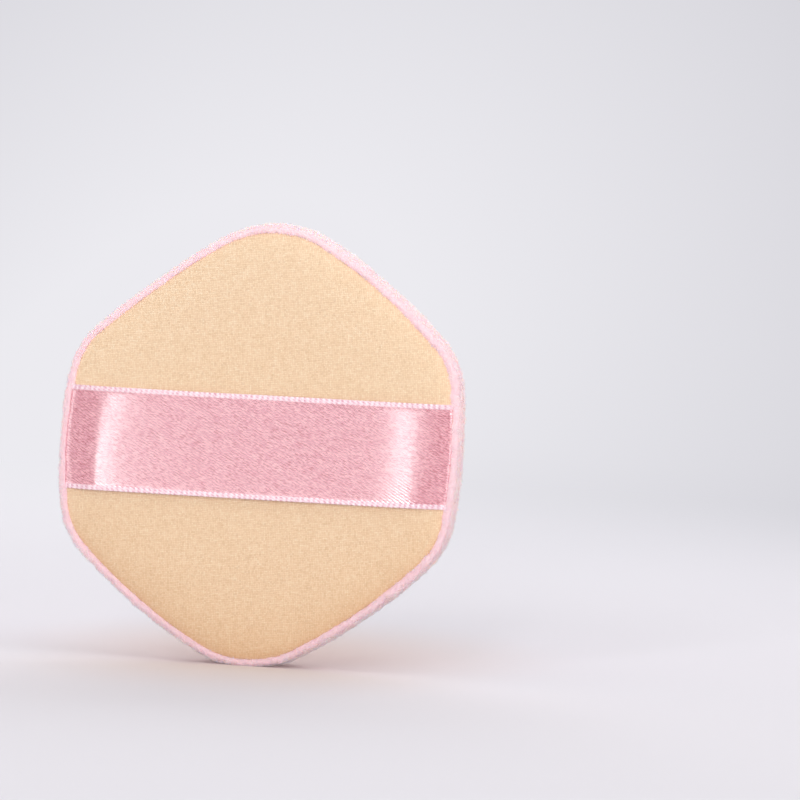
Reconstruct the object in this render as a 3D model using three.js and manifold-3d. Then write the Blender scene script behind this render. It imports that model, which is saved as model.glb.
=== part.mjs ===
// Ribboned makeup puff: a rounded hexagon of plush over a foam core, with a cloth
// backing panel and a satin finger band whose tails are caught in the side seams.
// Millimetres, +Z up. The puff stands on its lower corner, the backing faces -Y
// and the plush face +Y. The origin is under the middle of the puff, on its foot.

import * as THREE from 'three';
import { mergeVertices } from 'three/addons/utils/BufferGeometryUtils.js';
import Module from 'manifold-3d';

const wasm = await Module();
wasm.setup();

// Outline of the puff at its widest: how far its bowed sides reach from the middle,
// the direction of the slanted ones, and the radii of the sides and the corners
const sideReach = 31.4;
const shoulderReach = 31.4;
const shoulderAngle = THREE.MathUtils.degToRad(51.5);
const sideBowRadius = 88;
const sideCornerRadius = 12.5;
const endCornerRadius = 16.7;
const footCut = 0.5;

// Depths along Y, measured from the middle of the side wall
const wallFront = 1.8;
const allowanceDepth = 2.3;
const frontRoll = 2.8;
const wallBulge = 0.15;
const faceCrown = 1.1;
const backingCrown = 1.2;

// Cloths, thread and the room that each piece keeps from the next
const coverThickness = 0.9;
const backingThickness = 0.4;
const bandThickness = 0.25;
const threadDiameter = 0.25;
const clearance = 0.2;

// Rolled plush rim round the backing, and the allowances turned in at the seam
const rimRollWidth = 0.9;
const rimRollHeight = 1.3;
const coverAllowance = 4.0;
const hemAllowance = 3.2;

// Finger band
const bandWidth = 16;
const bandTail = 2.2;
const bandSlack = 0.3;

// Steps that each curve is drawn with
const sideSteps = 2;
const sideCornerSteps = 4;
const shoulderSteps = 4;
const endCornerSteps = 3;
const rollSteps = 4;
const innerRollSteps = 2;
const rimSteps = 3;
const foldSteps = 4;
const wrapSteps = 8;
const spanSteps = 10;
const bandColumns = 4;
const threadSides = 6;
const crownShares = [0.8, 0.55, 0.28];

// Depths and insets that follow from the sizes above. The back is at negative Y.
const faceEdge = wallFront + frontRoll;
const flangeBack = -allowanceDepth;
const flangeFront = flangeBack + coverThickness;
const seamGap = bandThickness + 2 * clearance;
const hemFront = flangeBack - seamGap;
const hemBack = hemFront - backingThickness;
const panelFront = hemBack - clearance;
const panelBack = panelFront - backingThickness;
const foldRadius = (hemFront - panelBack) / 2;
const foldDepth = (hemFront + panelBack) / 2;
const foldInset = rimRollWidth + seamGap + foldRadius;
const hemInset = foldInset + hemAllowance;
const flangeInset = rimRollWidth + coverAllowance;
const seatInset = Math.max(flangeInset, hemInset) + clearance;
const lining = coverThickness + clearance;
const faceMost = faceEdge + faceCrown;
const bandMost = panelBack - backingCrown - clearance - bandSlack - bandThickness;

// Outline: circles for the bowed sides and for the corners that join them

function circlesMeet(centreA, reachA, centreB, reachB) {
  const gap = centreB.clone().sub(centreA);
  const span = gap.length();
  const along = (reachA ** 2 - reachB ** 2 + span ** 2) / (2 * span);
  const across = Math.sqrt(reachA ** 2 - along ** 2);
  const unit = gap.normalize();
  const normal = new THREE.Vector2(unit.y, -unit.x);
  const meets = [across, -across].map((offset) =>
    centreA.clone().addScaledVector(unit, along).addScaledVector(normal, offset));
  return meets.reduce((best, point) => (point.x > best.x ? point : best));
}

// The four arcs of a quarter of the outline, from the side round to the end
function quarterArcs() {
  const side = new THREE.Vector2(sideReach - sideBowRadius, 0);
  const shoulder = new THREE.Vector2(Math.cos(shoulderAngle), Math.sin(shoulderAngle))
    .multiplyScalar(shoulderReach - sideBowRadius);
  const cornerReach = sideBowRadius - sideCornerRadius;
  const corner = circlesMeet(side, cornerReach, shoulder, cornerReach);
  const endReach = sideBowRadius - endCornerRadius;
  const end = new THREE.Vector2(0, Math.sqrt(endReach ** 2 - shoulder.x ** 2) + shoulder.y);
  const leaveSide = corner.clone().sub(side).angle();
  const meetShoulder = corner.clone().sub(shoulder).angle();
  const leaveShoulder = end.clone().sub(shoulder).angle();
  return [
    { centre: side, radius: sideBowRadius, from: 0, to: leaveSide, steps: sideSteps },
    { centre: corner, radius: sideCornerRadius, from: leaveSide, to: meetShoulder, steps: sideCornerSteps },
    { centre: shoulder, radius: sideBowRadius, from: meetShoulder, to: leaveShoulder, steps: shoulderSteps },
    { centre: end, radius: endCornerRadius, from: leaveShoulder, to: Math.PI / 2, steps: endCornerSteps },
  ];
}

// A station is a point of the outline, kept as a place on its arc
function outlineStations() {
  const arcs = quarterArcs();
  const rising = arcs.flatMap(({ centre, radius, from, to, steps }) =>
    Array.from({ length: steps }, (_, step) => (
      { centre, radius, angle: THREE.MathUtils.lerp(from, to, step / steps) }
    )));
  const end = arcs.pop();
  const top = { centre: end.centre, radius: end.radius, angle: end.to };
  const falling = [...rising.slice(1), top].reverse();
  const turned = (list, signX, signZ) => list.map((station) => ({ ...station, signX, signZ }));
  return [
    ...turned(rising, 1, 1),
    ...turned(falling, -1, 1),
    ...turned(rising, -1, -1),
    ...turned(falling, 1, -1),
  ];
}

const stations = outlineStations();
const endCorner = quarterArcs().pop();
const halfHeight = endCorner.centre.y + endCorner.radius;
const standHeight = halfHeight - footCut;

// One ring of a loft: the outline drawn in by inset and scaled towards the middle by share.
// The lofts are made round the middle of the puff, which the group then lifts onto its foot.
function ring({ inset, depth, share = 1 }) {
  return stations.map(({ centre, radius, angle, signX, signZ }) => {
    const x = centre.x + (radius - inset) * Math.cos(angle);
    const z = centre.y + (radius - inset) * Math.sin(angle);
    return new THREE.Vector3(signX * x * share, depth, signZ * z * share);
  });
}

function middle(depth) {
  return new THREE.Vector3(0, depth, 0);
}

// Places on an arc of a section, in inset and depth
function sectionArc(inset, depth, radius, from, to, steps) {
  return Array.from({ length: steps + 1 }, (_, step) => {
    const angle = THREE.MathUtils.lerp(from, to, step / steps);
    return {
      inset: inset - radius * Math.cos(angle),
      depth: depth + radius * Math.sin(angle),
    };
  });
}

// The crown of a face rises from its edge to its middle
function crownRise(share, rise) {
  return rise * (1 - share ** 2);
}

function crownRings(inset, depth, rise) {
  return crownShares.map((share) => ({ inset, share, depth: depth + crownRise(share, rise) }));
}

// Skins over rings of points

function volumeOf(points, faces) {
  const normal = new THREE.Vector3();
  return faces.reduce((sum, [a, b, c]) => sum + points[a].dot(normal.crossVectors(points[b], points[c])), 0);
}

function closedGeometry(points, faces) {
  const outward = volumeOf(points, faces) > 0 ? faces : faces.map(([a, b, c]) => [a, c, b]);
  const geometry = new THREE.BufferGeometry();
  geometry.setAttribute('position', new THREE.Float32BufferAttribute(points.flatMap((p) => p.toArray()), 3));
  geometry.setIndex(outward.flat());
  geometry.computeVertexNormals();
  return geometry;
}

function facesBetween(startA, startB, count) {
  return Array.from({ length: count }, (_, i) => {
    const next = (i + 1) % count;
    return [
      [startA + i, startA + next, startB + i],
      [startA + next, startB + next, startB + i],
    ];
  }).flat();
}

// Skin over rings that start and end in a point on the axis
function loftBetweenPoles(firstPole, rings, lastPole) {
  const count = stations.length;
  const first = rings.length * count;
  const last = first + 1;
  const lastRing = (rings.length - 1) * count;
  const caps = Array.from({ length: count }, (_, i) => {
    const next = (i + 1) % count;
    return [[first, next, i], [last, lastRing + i, lastRing + next]];
  }).flat();
  const walls = rings.slice(1).flatMap((_, r) => facesBetween(r * count, (r + 1) * count, count));
  return closedGeometry([...rings.flat(), firstPole, lastPole], [...caps, ...walls]);
}

// Skin over rings of which the last meets the first
function loftLoop(rings) {
  const count = rings[0].length;
  const faces = rings.flatMap((_, r) =>
    facesBetween(r * count, ((r + 1) % rings.length) * count, count));
  return closedGeometry(rings.flat(), faces);
}

function toSolid(geometry) {
  const bare = geometry.clone();
  bare.deleteAttribute('normal');
  bare.deleteAttribute('uv');
  const merged = mergeVertices(bare);
  return new wasm.Manifold(new wasm.Mesh({
    numProp: 3,
    vertProperties: new Float32Array(merged.attributes.position.array),
    triVerts: new Uint32Array(merged.index.array),
  }));
}

function toGeometry(solid) {
  const mesh = solid.getMesh();
  const geometry = new THREE.BufferGeometry();
  geometry.setAttribute('position', new THREE.BufferAttribute(mesh.vertProperties, 3));
  geometry.setIndex(new THREE.BufferAttribute(mesh.triVerts, 1));
  geometry.computeVertexNormals();
  return geometry;
}

// The lower corner is pressed flat where the puff stands on it
function cutFoot(geometry) {
  const floor = new THREE.BoxGeometry(2 * sideReach, 2 * halfHeight, halfHeight);
  floor.translate(0, 0, -standHeight - halfHeight / 2);
  return toGeometry(toSolid(geometry).subtract(toSolid(floor)));
}

// Plush cover: crowned face, side wall, rolled rim and the allowance turned in at the seam
function plushCover() {
  const rimRadius = rimRollWidth / 2;
  const rimDepth = flangeBack - rimRollHeight + rimRadius;
  const outside = [
    ...crownRings(frontRoll, faceEdge, faceCrown).reverse(),
    ...sectionArc(frontRoll, wallFront, frontRoll, Math.PI / 2, 0, rollSteps),
    { inset: -wallBulge, depth: (wallFront + rimDepth) / 2 },
    ...sectionArc(rimRadius, rimDepth, rimRadius, 0, -Math.PI, rimSteps),
    { inset: rimRollWidth, depth: flangeBack },
    { inset: flangeInset, depth: flangeBack },
  ];
  const innerRoll = frontRoll - coverThickness;
  const inside = [
    { inset: flangeInset, depth: flangeFront },
    { inset: coverThickness, depth: flangeFront },
    ...sectionArc(frontRoll, wallFront, innerRoll, 0, Math.PI / 2, innerRollSteps),
    ...crownRings(frontRoll, faceEdge - coverThickness, faceCrown),
  ];
  const rings = [...outside, ...inside].map(ring);
  return cutFoot(loftBetweenPoles(middle(faceMost), rings, middle(faceMost - coverThickness)));
}

// Backing panel: crowned cloth whose edge is folded under all round
function backingCloth() {
  const crown = panelBack - backingCrown;
  const outside = [
    ...crownRings(foldInset, panelBack, -backingCrown).reverse(),
    ...sectionArc(foldInset, foldDepth, foldRadius, -Math.PI / 2, Math.PI / 2, foldSteps),
    { inset: hemInset, depth: hemFront },
  ];
  const inside = [
    { inset: hemInset, depth: hemBack },
    ...sectionArc(foldInset, foldDepth, foldRadius - backingThickness, Math.PI / 2, -Math.PI / 2, foldSteps),
    ...crownRings(foldInset, panelFront, -backingCrown),
  ];
  return loftBetweenPoles(middle(crown), [...outside, ...inside].map(ring), middle(crown + backingThickness));
}

// Foam core: it fills the cover and is pressed in where the allowances lie on it
function foamCore() {
  const seatDepth = flangeFront + clearance;
  const plateau = panelFront + clearance;
  const plateauShare = (sideReach - seatInset) / (sideReach - foldInset);
  const front = [
    ...crownRings(frontRoll, faceEdge - lining, faceCrown).reverse(),
    ...sectionArc(frontRoll, wallFront, frontRoll - lining, Math.PI / 2, 0, rollSteps),
    { inset: lining, depth: seatDepth },
    { inset: seatInset, depth: seatDepth },
  ];
  const back = [
    { inset: seatInset, depth: plateau - crownRise(plateauShare, backingCrown) },
    ...crownRings(foldInset, plateau, -backingCrown),
  ];
  const rings = [...front, ...back].map(ring);
  return loftBetweenPoles(middle(faceMost - lining), rings, middle(plateau - backingCrown));
}

// Seam thread: one closed line of stitching between the hem and the turned-in cover
function seamThread() {
  const radius = threadDiameter / 2;
  const inset = foldInset + bandTail + clearance + radius;
  const depth = (hemFront + flangeBack) / 2;
  const rings = Array.from({ length: threadSides }, (_, side) => {
    const angle = (2 * Math.PI * side) / threadSides;
    return ring({ inset: inset + radius * Math.cos(angle), depth: depth + radius * Math.sin(angle) });
  });
  return loftLoop(rings);
}

// Half width of the puff at a height above or below its middle, drawn in by inset
function halfWidthAt(height, inset) {
  return sideReach - sideBowRadius + Math.sqrt((sideBowRadius - inset) ** 2 - height ** 2);
}

// Line of one face of the finger band from its tail to the middle, in X and Y: under the
// hem, round the folded edge of the panel and across the crown with a little slack
function bandHalfLine(lift) {
  const edge = sideReach - foldInset;
  const reach = foldRadius + clearance + lift;
  const tail = new THREE.Vector2(edge - bandTail, foldDepth + reach);
  const wrap = Array.from({ length: wrapSteps + 1 }, (_, step) => {
    const angle = THREE.MathUtils.lerp(Math.PI / 2, -Math.PI / 2, step / wrapSteps);
    return new THREE.Vector2(edge + reach * Math.cos(angle), foldDepth + reach * Math.sin(angle));
  });
  const span = Array.from({ length: spanSteps }, (_, step) => {
    const share = 1 - (step + 1) / spanSteps;
    return new THREE.Vector2(edge * share, foldDepth - reach - crownRise(share, backingCrown + bandSlack));
  });
  return [tail, ...wrap, ...span];
}

function bandLine(lift) {
  const half = bandHalfLine(lift);
  const otherHalf = half.slice(0, -1).reverse().map((p) => new THREE.Vector2(-p.x, p.y));
  return [...half, ...otherHalf];
}

// Across its width the band follows the slight bow of the puff's side
function fingerBand() {
  const heights = Array.from({ length: bandColumns + 1 }, (_, column) =>
    bandWidth * (column / bandColumns - 0.5));
  const edge = halfWidthAt(0, foldInset);
  const across = (p, columns) => columns.map((height) =>
    new THREE.Vector3(p.x * (halfWidthAt(height, foldInset) / edge), p.y, height));
  const inner = bandLine(0);
  const outer = bandLine(bandThickness);
  const rows = inner.map((p, i) => [...across(p, heights), ...across(outer[i], heights.toReversed())]);
  const count = rows[0].length;
  const walls = rows.slice(1).flatMap((_, r) => facesBetween(r * count, (r + 1) * count, count));
  const lastRow = (rows.length - 1) * count;
  const caps = Array.from({ length: bandColumns }, (_, i) => {
    const far = count - 1 - i;
    return [
      [i, far, i + 1],
      [i + 1, far, far - 1],
      [lastRow + i, lastRow + i + 1, lastRow + far],
      [lastRow + i + 1, lastRow + far - 1, lastRow + far],
    ];
  }).flat();
  return closedGeometry(rows.flat(), [...walls, ...caps]);
}

// Colours of the cloths, the foam and the thread
const plush = new THREE.MeshStandardMaterial({ color: 0xf2bfc8, roughness: 0.95, metalness: 0 });
const cotton = new THREE.MeshStandardMaterial({ color: 0xf3d7ae, roughness: 0.9, metalness: 0 });
const satin = new THREE.MeshStandardMaterial({ color: 0xeea3b5, roughness: 0.4, metalness: 0 });
const foam = new THREE.MeshStandardMaterial({ color: 0xf5f0e6, roughness: 1, metalness: 0 });
const thread = new THREE.MeshStandardMaterial({ color: 0xe58fa6, roughness: 0.6, metalness: 0 });

function namedMesh(name, geometry, material) {
  const mesh = new THREE.Mesh(geometry, material);
  mesh.name = name;
  return mesh;
}

const puff = new THREE.Group();
puff.position.set(0, -(faceMost + bandMost) / 2, standHeight);
puff.add(
  namedMesh('plush_cover', plushCover(), plush),
  namedMesh('foam_core', foamCore(), foam),
  namedMesh('backing_cloth', backingCloth(), cotton),
  namedMesh('seam_thread', seamThread(), thread),
  namedMesh('finger_band', fingerBand(), satin),
);

export default puff;
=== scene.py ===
# Looks of a ribboned makeup puff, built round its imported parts. Metres, +Z up. The puff stands on
# its lower corner, the backing and the finger band face -Y and the plush face +Y.

import math

import bpy
import numpy as np
from mathutils import Matrix, Vector


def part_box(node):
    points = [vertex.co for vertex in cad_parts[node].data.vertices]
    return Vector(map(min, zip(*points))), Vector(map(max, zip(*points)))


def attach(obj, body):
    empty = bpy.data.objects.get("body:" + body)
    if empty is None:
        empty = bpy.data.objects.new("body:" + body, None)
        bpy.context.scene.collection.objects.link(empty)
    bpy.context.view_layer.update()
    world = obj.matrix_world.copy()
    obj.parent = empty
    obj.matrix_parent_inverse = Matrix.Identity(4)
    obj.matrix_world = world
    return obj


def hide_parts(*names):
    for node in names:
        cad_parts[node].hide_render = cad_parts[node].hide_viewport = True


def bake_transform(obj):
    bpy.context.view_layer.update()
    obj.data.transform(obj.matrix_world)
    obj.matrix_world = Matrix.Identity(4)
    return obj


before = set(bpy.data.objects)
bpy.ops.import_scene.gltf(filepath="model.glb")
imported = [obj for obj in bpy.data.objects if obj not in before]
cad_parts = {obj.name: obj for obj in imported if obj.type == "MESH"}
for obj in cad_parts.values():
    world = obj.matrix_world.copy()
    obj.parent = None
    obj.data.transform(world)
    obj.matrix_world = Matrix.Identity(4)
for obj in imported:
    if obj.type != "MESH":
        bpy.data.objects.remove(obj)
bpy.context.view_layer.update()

# The pieces are drawn in millimetres round the middle of the puff: x to the right, depth along Y
# and z up. place() lifts them onto the foot, in metres.
MM = 0.001

# Outline of the puff at its widest, as in the CAD parts
SIDE_REACH = 31.4
SHOULDER_REACH = 31.4
SHOULDER_ANGLE = math.radians(51.5)
SIDE_BOW_RADIUS = 88.0
SIDE_CORNER_RADIUS = 12.5
END_CORNER_RADIUS = 16.7

# Depths of the CAD parts, measured from the middle of the side wall
WALL_FRONT = 1.8
FRONT_ROLL = 2.8
FACE_CROWN = 1.1
ALLOWANCE_DEPTH = 2.3
SEAM_DEPTH = 2.625
COVER_THICKNESS = 0.9

# Plush cover: drawn in to leave room for the pile. Its rim rolls over the back and closes on the
# edge of the panel.
PILE_ROOM = 0.42
RIM_HEIGHT = 1.25
RIM_WIDTH = 1.12
WALL_BULGE = 0.15
COVER_ALLOWANCE = 4.0
COVER_STATIONS = 640
FACE_RINGS = 80
ROLL_RINGS = 15
WALL_RINGS = 10
RIM_RINGS = 14
POLE_SHARE = 0.012

# Pile on the face, the wall and the rim: fibres per square millimetre, their length and a seed.
# The wall's pile starts on the front roll, and the rim's on the last of the wall.
FACE_PILE = (14, 0.42, 11)
WALL_PILE = (36, 0.38, 12)
RIM_PILE = (45, 0.34, 13)
WALL_PILE_START = FACE_RINGS + 4
RIM_PILE_RINGS = RIM_RINGS + 4
NAP = np.array([0.0, -0.1, -0.25])
FIBRE_RADIUS = 0.045
FIBRE_SINK = 0.05
FIBRE_SCATTER = 0.15
TUFT_SIZE = 0.35
TUFT_LEAN = 0.35
TUFT_SEEDS = (41, 42, 43)
RIM_FADE = (3.0, -2.5)

# A fibre's four triangles, and their corners in its map: U is its tone and V runs from root to tip
FIBRE_FACES = np.array([[0, 2, 1], [0, 1, 3], [1, 2, 3], [2, 0, 3]])
FIBRE_MAP_U = np.array([-0.004, 0.004, 0.0])
FIBRE_MAP_V = np.array([[0.01, 0.03, 0.02]] + [[0.02, 0.02, 0.98]] * 3)

# Unevenness, as lumps of a size and a seed. Those of the cover and the foam have a height first.
WAVES = 16
WAVE_LENGTHS = (1.4, 2.8)
COVER_LUMPS = ((0.06, 0.45, 1), (0.07, 1.0, 2), (0.06, 6.0, 3))
FOAM_LUMPS = (0.03, 0.9, 31)
BROAD_CLUMPS = (1.0, 7)
FINE_CLUMPS = (0.4, 8)

# Foam pad: fills the cover and swells through the ring of its allowance under the panel
FOAM_GAP = 0.05
FOAM_NECK_SHARE = 0.85
FOAM_POLE_SHARE = 0.03
FOAM_LEDGE_ROLL = 0.8

# Backing panel: pillowed, with a hem folded under
PANEL_INSET = 1.43
PANEL_EDGE_DEPTH = 3.15
PANEL_THICKNESS = 0.4
PANEL_RISE = 2.0
PILLOW_POWER = 6
PILLOW_ROUNDING = 0.6
HEM_ALLOWANCE = 3.2
FOLD_RADIUS = 0.4
PANEL_STATIONS = 480
PANEL_LINING_SHARE = 0.88
PUCKER_LUMPS = (3.0, 21)
PUCKER_DEPTH = 0.06
PUCKER_START = 0.7
PUCKER_FADE = 0.25
PUCKER_END = 0.99
WEAVE_PITCH = 0.27

# Seam thread: a running stitch through the hem, the ribbon's tails and the cover's allowance
THREAD_INSET = 4.45
THREAD_DEPTH = 2.525
THREAD_RADIUS = 0.1
THREAD_POINTS = 1600
THREAD_SIDES = 8
STITCH_LENGTH = 2.5
STITCH_RISE = 0.03

# Finger band
BAND_WIDTH = 16.0
BAND_THICKNESS = 0.25
BAND_LIFT = 0.15
BAND_SLACK = 0.15
BAND_TAIL = 2.2
BAND_STEP = 0.2
BAND_LAG = 2.6
LAG_ENDS = (24.5, 29.5)
HEM_LIFT = 0.3
SELVEDGE_WIDTH = 0.78
SELVEDGE_PITCH = 0.84
SELVEDGE_HEIGHT = 0.07
SATIN_THREAD = 0.15
SATIN_FLOAT = 0.8
SATIN_STEP = 0.27

# The soft puff isn't quite symmetric: its top sways to the right and its upper left side is flatter
TOP_SWAY = 1.7
FOOT_SWAY = 0.3
TUCK = 0.65
TUCK_ANGLE = math.radians(130.0)
TUCK_SPREAD = math.radians(27.0)

# Camera and stage
FRAME_PIXELS = 800
PUFF_PIXEL = (261, 445)
PIXELS_PER_MM = 6.48
CAMERA_DISTANCE = 0.8
CAMERA_AZIMUTH = math.radians(11.0)
CAMERA_ELEVATION = math.radians(3.5)
PUFF_LEAN = math.radians(2.7)

# Backdrop: a glow round a middle left of the foot, which takes over from the lit paper between
# GLOW_START and GLOW_END metres from the foot. Close to the foot a painted warm shadow darkens it.
FAR_BACKDROP = "c3c2c8"
GLOW_CENTRE = (-0.15, 0.0, 0.0)
GLOW_SCALE = 3.2
GLOW_START = 0.12
GLOW_END = 0.45
PAINTED_SHADOW_CENTRE = (0.0, 0.02, 0.0)
PAINTED_SHADOW_SHAPE = (1.0, 0.7, 1.0)
PAINTED_SHADOW_REACH = 0.05
WORLD_COLOUR = "fbf5f1"
WORLD_STRENGTH = 0.43


def middle_of_puff():
    """Where the middle of the puff lies in the row frame, read from the foam core and the seam thread."""
    foam_low, foam_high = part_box("foam_core")
    thread_low, thread_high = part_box("seam_thread")
    centre = (foam_low + foam_high) / 2
    depth = (thread_low.y + thread_high.y) / 2 + SEAM_DEPTH * MM
    return np.array([centre.x, depth, centre.z])


MIDDLE = middle_of_puff()
FLOOR = -MIDDLE[2] / MM


def place(points):
    """Points onto the foot, in metres, with the sway and the flatter side that a soft puff has."""
    points = np.array(points, float)
    reach = np.hypot(points[:, 0], points[:, 2])
    turn = np.arctan2(points[:, 2], points[:, 0])
    tuck = TUCK * np.exp(-(((turn - TUCK_ANGLE) / TUCK_SPREAD) ** 2)) * reach / SIDE_REACH**2
    share = (points[:, 2] / FLOOR - 1) / -2
    points[:, [0, 2]] *= 1 - tuck[:, None]
    points[:, 0] += TOP_SWAY * share**2 - FOOT_SWAY
    return points * MM + MIDDLE


# Outline: circles for the bowed sides and for the corners that join them


def circles_meet(centre_a, centre_b, reach):
    """The meeting point, with the greater x, of two circles of one radius."""
    gap = centre_b - centre_a
    across = math.sqrt(reach**2 - (gap.length / 2) ** 2)
    normal = Vector((gap.y, -gap.x)).normalized()
    half_way = centre_a + gap / 2
    return max((half_way + normal * across, half_way - normal * across), key=lambda point: point.x)


def angle_of(vector):
    """The angle of a flat vector from +X."""
    return math.atan2(vector.y, vector.x)


def quarter_arcs():
    """Centre, radius, first and last angle of the four arcs from the side round to the top."""
    side = Vector((SIDE_REACH - SIDE_BOW_RADIUS, 0))
    shoulder_way = Vector((math.cos(SHOULDER_ANGLE), math.sin(SHOULDER_ANGLE)))
    shoulder = shoulder_way * (SHOULDER_REACH - SIDE_BOW_RADIUS)
    corner = circles_meet(side, shoulder, SIDE_BOW_RADIUS - SIDE_CORNER_RADIUS)
    end_reach = SIDE_BOW_RADIUS - END_CORNER_RADIUS
    end = Vector((0, math.sqrt(end_reach**2 - shoulder.x**2) + shoulder.y))
    leave_side = angle_of(corner - side)
    meet_shoulder = angle_of(corner - shoulder)
    leave_shoulder = angle_of(end - shoulder)
    return [
        (side, SIDE_BOW_RADIUS, 0.0, leave_side),
        (corner, SIDE_CORNER_RADIUS, leave_side, meet_shoulder),
        (shoulder, SIDE_BOW_RADIUS, meet_shoulder, leave_shoulder),
        (end, END_CORNER_RADIUS, leave_shoulder, math.pi / 2),
    ]


def outline(count):
    """Evenly spaced stations: the centre, radius and angle of each one's arc, and its two signs."""
    arcs = quarter_arcs()
    ends = np.cumsum([radius * (last - first) for _, radius, first, last in arcs])
    quarter, along = np.divmod((np.arange(count) + 0.5) / count * 4 * ends[-1], ends[-1])
    along = np.where(quarter % 2 == 0, along, ends[-1] - along)
    which = np.searchsorted(ends, along).clip(max=len(arcs) - 1)
    centres = np.array([centre for centre, *_ in arcs])[which]
    radii = np.array([radius for _, radius, *_ in arcs])[which]
    lasts = np.array([last for *_, last in arcs])[which]
    angles = lasts - (ends[which] - along) / radii
    signs = np.array([(1, 1), (-1, 1), (-1, -1), (1, -1)])[quarter.astype(int)]
    return centres, radii, angles, signs


def ring(stations, inset=0.0, depth=0.0, share=1.0):
    """The outline drawn in by inset and scaled towards the middle by share, at a depth."""
    centres, radii, angles, signs = stations
    x = (centres[:, 0] + (radii - inset) * np.cos(angles)) * signs[:, 0] * share
    z = (centres[:, 1] + (radii - inset) * np.sin(angles)) * signs[:, 1] * share
    return np.column_stack([x, np.broadcast_to(depth, x.shape), z])


def half_width_at(height, inset):
    """Half width of the puff at a height above or below its middle, drawn in by inset."""
    return SIDE_REACH - SIDE_BOW_RADIUS + np.sqrt((SIDE_BOW_RADIUS - inset) ** 2 - height**2)


def crown(share, rise):
    """How far a crowned face stands above its edge, at a share of the way to that edge."""
    return rise * (1 - share**2)


def section_arc(inset, depth, radius_in, radius_deep, first, last, steps):
    """(inset, depth) places on an elliptical arc of a section, at angles in degrees: 0 points outwards."""
    angles = np.radians(np.linspace(first, last, steps))
    return [(inset - radius_in * math.cos(a), depth + radius_deep * math.sin(a)) for a in angles]


# Meshes


def loft(rings):
    """Points and faces of a skin over rings, closed by a pole in the middle of the first and the last."""
    count = len(rings[0])
    points = np.concatenate(rings)
    turn = np.arange(count)
    after = (turn + 1) % count
    starts = np.arange(len(rings) - 1)[:, None] * count
    walls = np.stack([starts + turn, starts + after, starts + count + after, starts + count + turn], axis=2)
    poles = [[0, end[:, 1].mean(), 0] for end in (rings[0], rings[-1])]
    pole, last_ring = len(points), (len(rings) - 1) * count
    sides = list(zip(turn.tolist(), after.tolist(), strict=True))
    faces = walls.reshape(-1, 4).tolist()
    faces += [[pole, b, a] for a, b in sides]
    faces += [[pole + 1, last_ring + a, last_ring + b] for a, b in sides]
    return np.concatenate([points, poles]), faces


def new_mesh(name, points, faces, material):
    """An object with these points, in millimetres round the middle, smooth and facing out."""
    mesh = bpy.data.meshes.new(name)
    mesh.from_pydata(place(points).tolist(), [], faces)
    mesh.shade_smooth()
    mesh.materials.append(material)
    piece = bpy.data.objects.new(name, mesh)
    bpy.context.scene.collection.objects.link(piece)
    return piece


def read(mesh_items, name, width):
    """One attribute of all items of a mesh, with a row of that width for each."""
    found = np.empty(len(mesh_items) * width, np.float32)
    mesh_items.foreach_get(name, found)
    return found.reshape(-1, width).astype(float)


def lumps(points, size, seed):
    """A smooth random height, mostly from -1 to 1, with lumps about that size. Points are in millimetres."""
    random = np.random.default_rng(seed)
    directions = random.normal(size=(WAVES, 3))
    directions /= np.linalg.norm(directions, axis=1)[:, None]
    lengths = size * random.uniform(*WAVE_LENGTHS, WAVES)
    phases = random.uniform(0, 2 * math.pi, WAVES)
    angles = points @ (directions * 2 * math.pi / lengths[:, None]).T + phases
    return np.sin(angles).sum(1) / math.sqrt(WAVES)


def push(piece, heights):
    """Moves each vertex along its normal by a height in millimetres."""
    vertices = piece.data.vertices
    moved = read(vertices, "co", 3) + read(vertices, "normal", 3) * heights[:, None] * MM
    moved[:, 2] = moved[:, 2].clip(min=0)
    vertices.foreach_set("co", moved.astype(np.float32).ravel())
    piece.data.update()


# Materials


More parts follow.
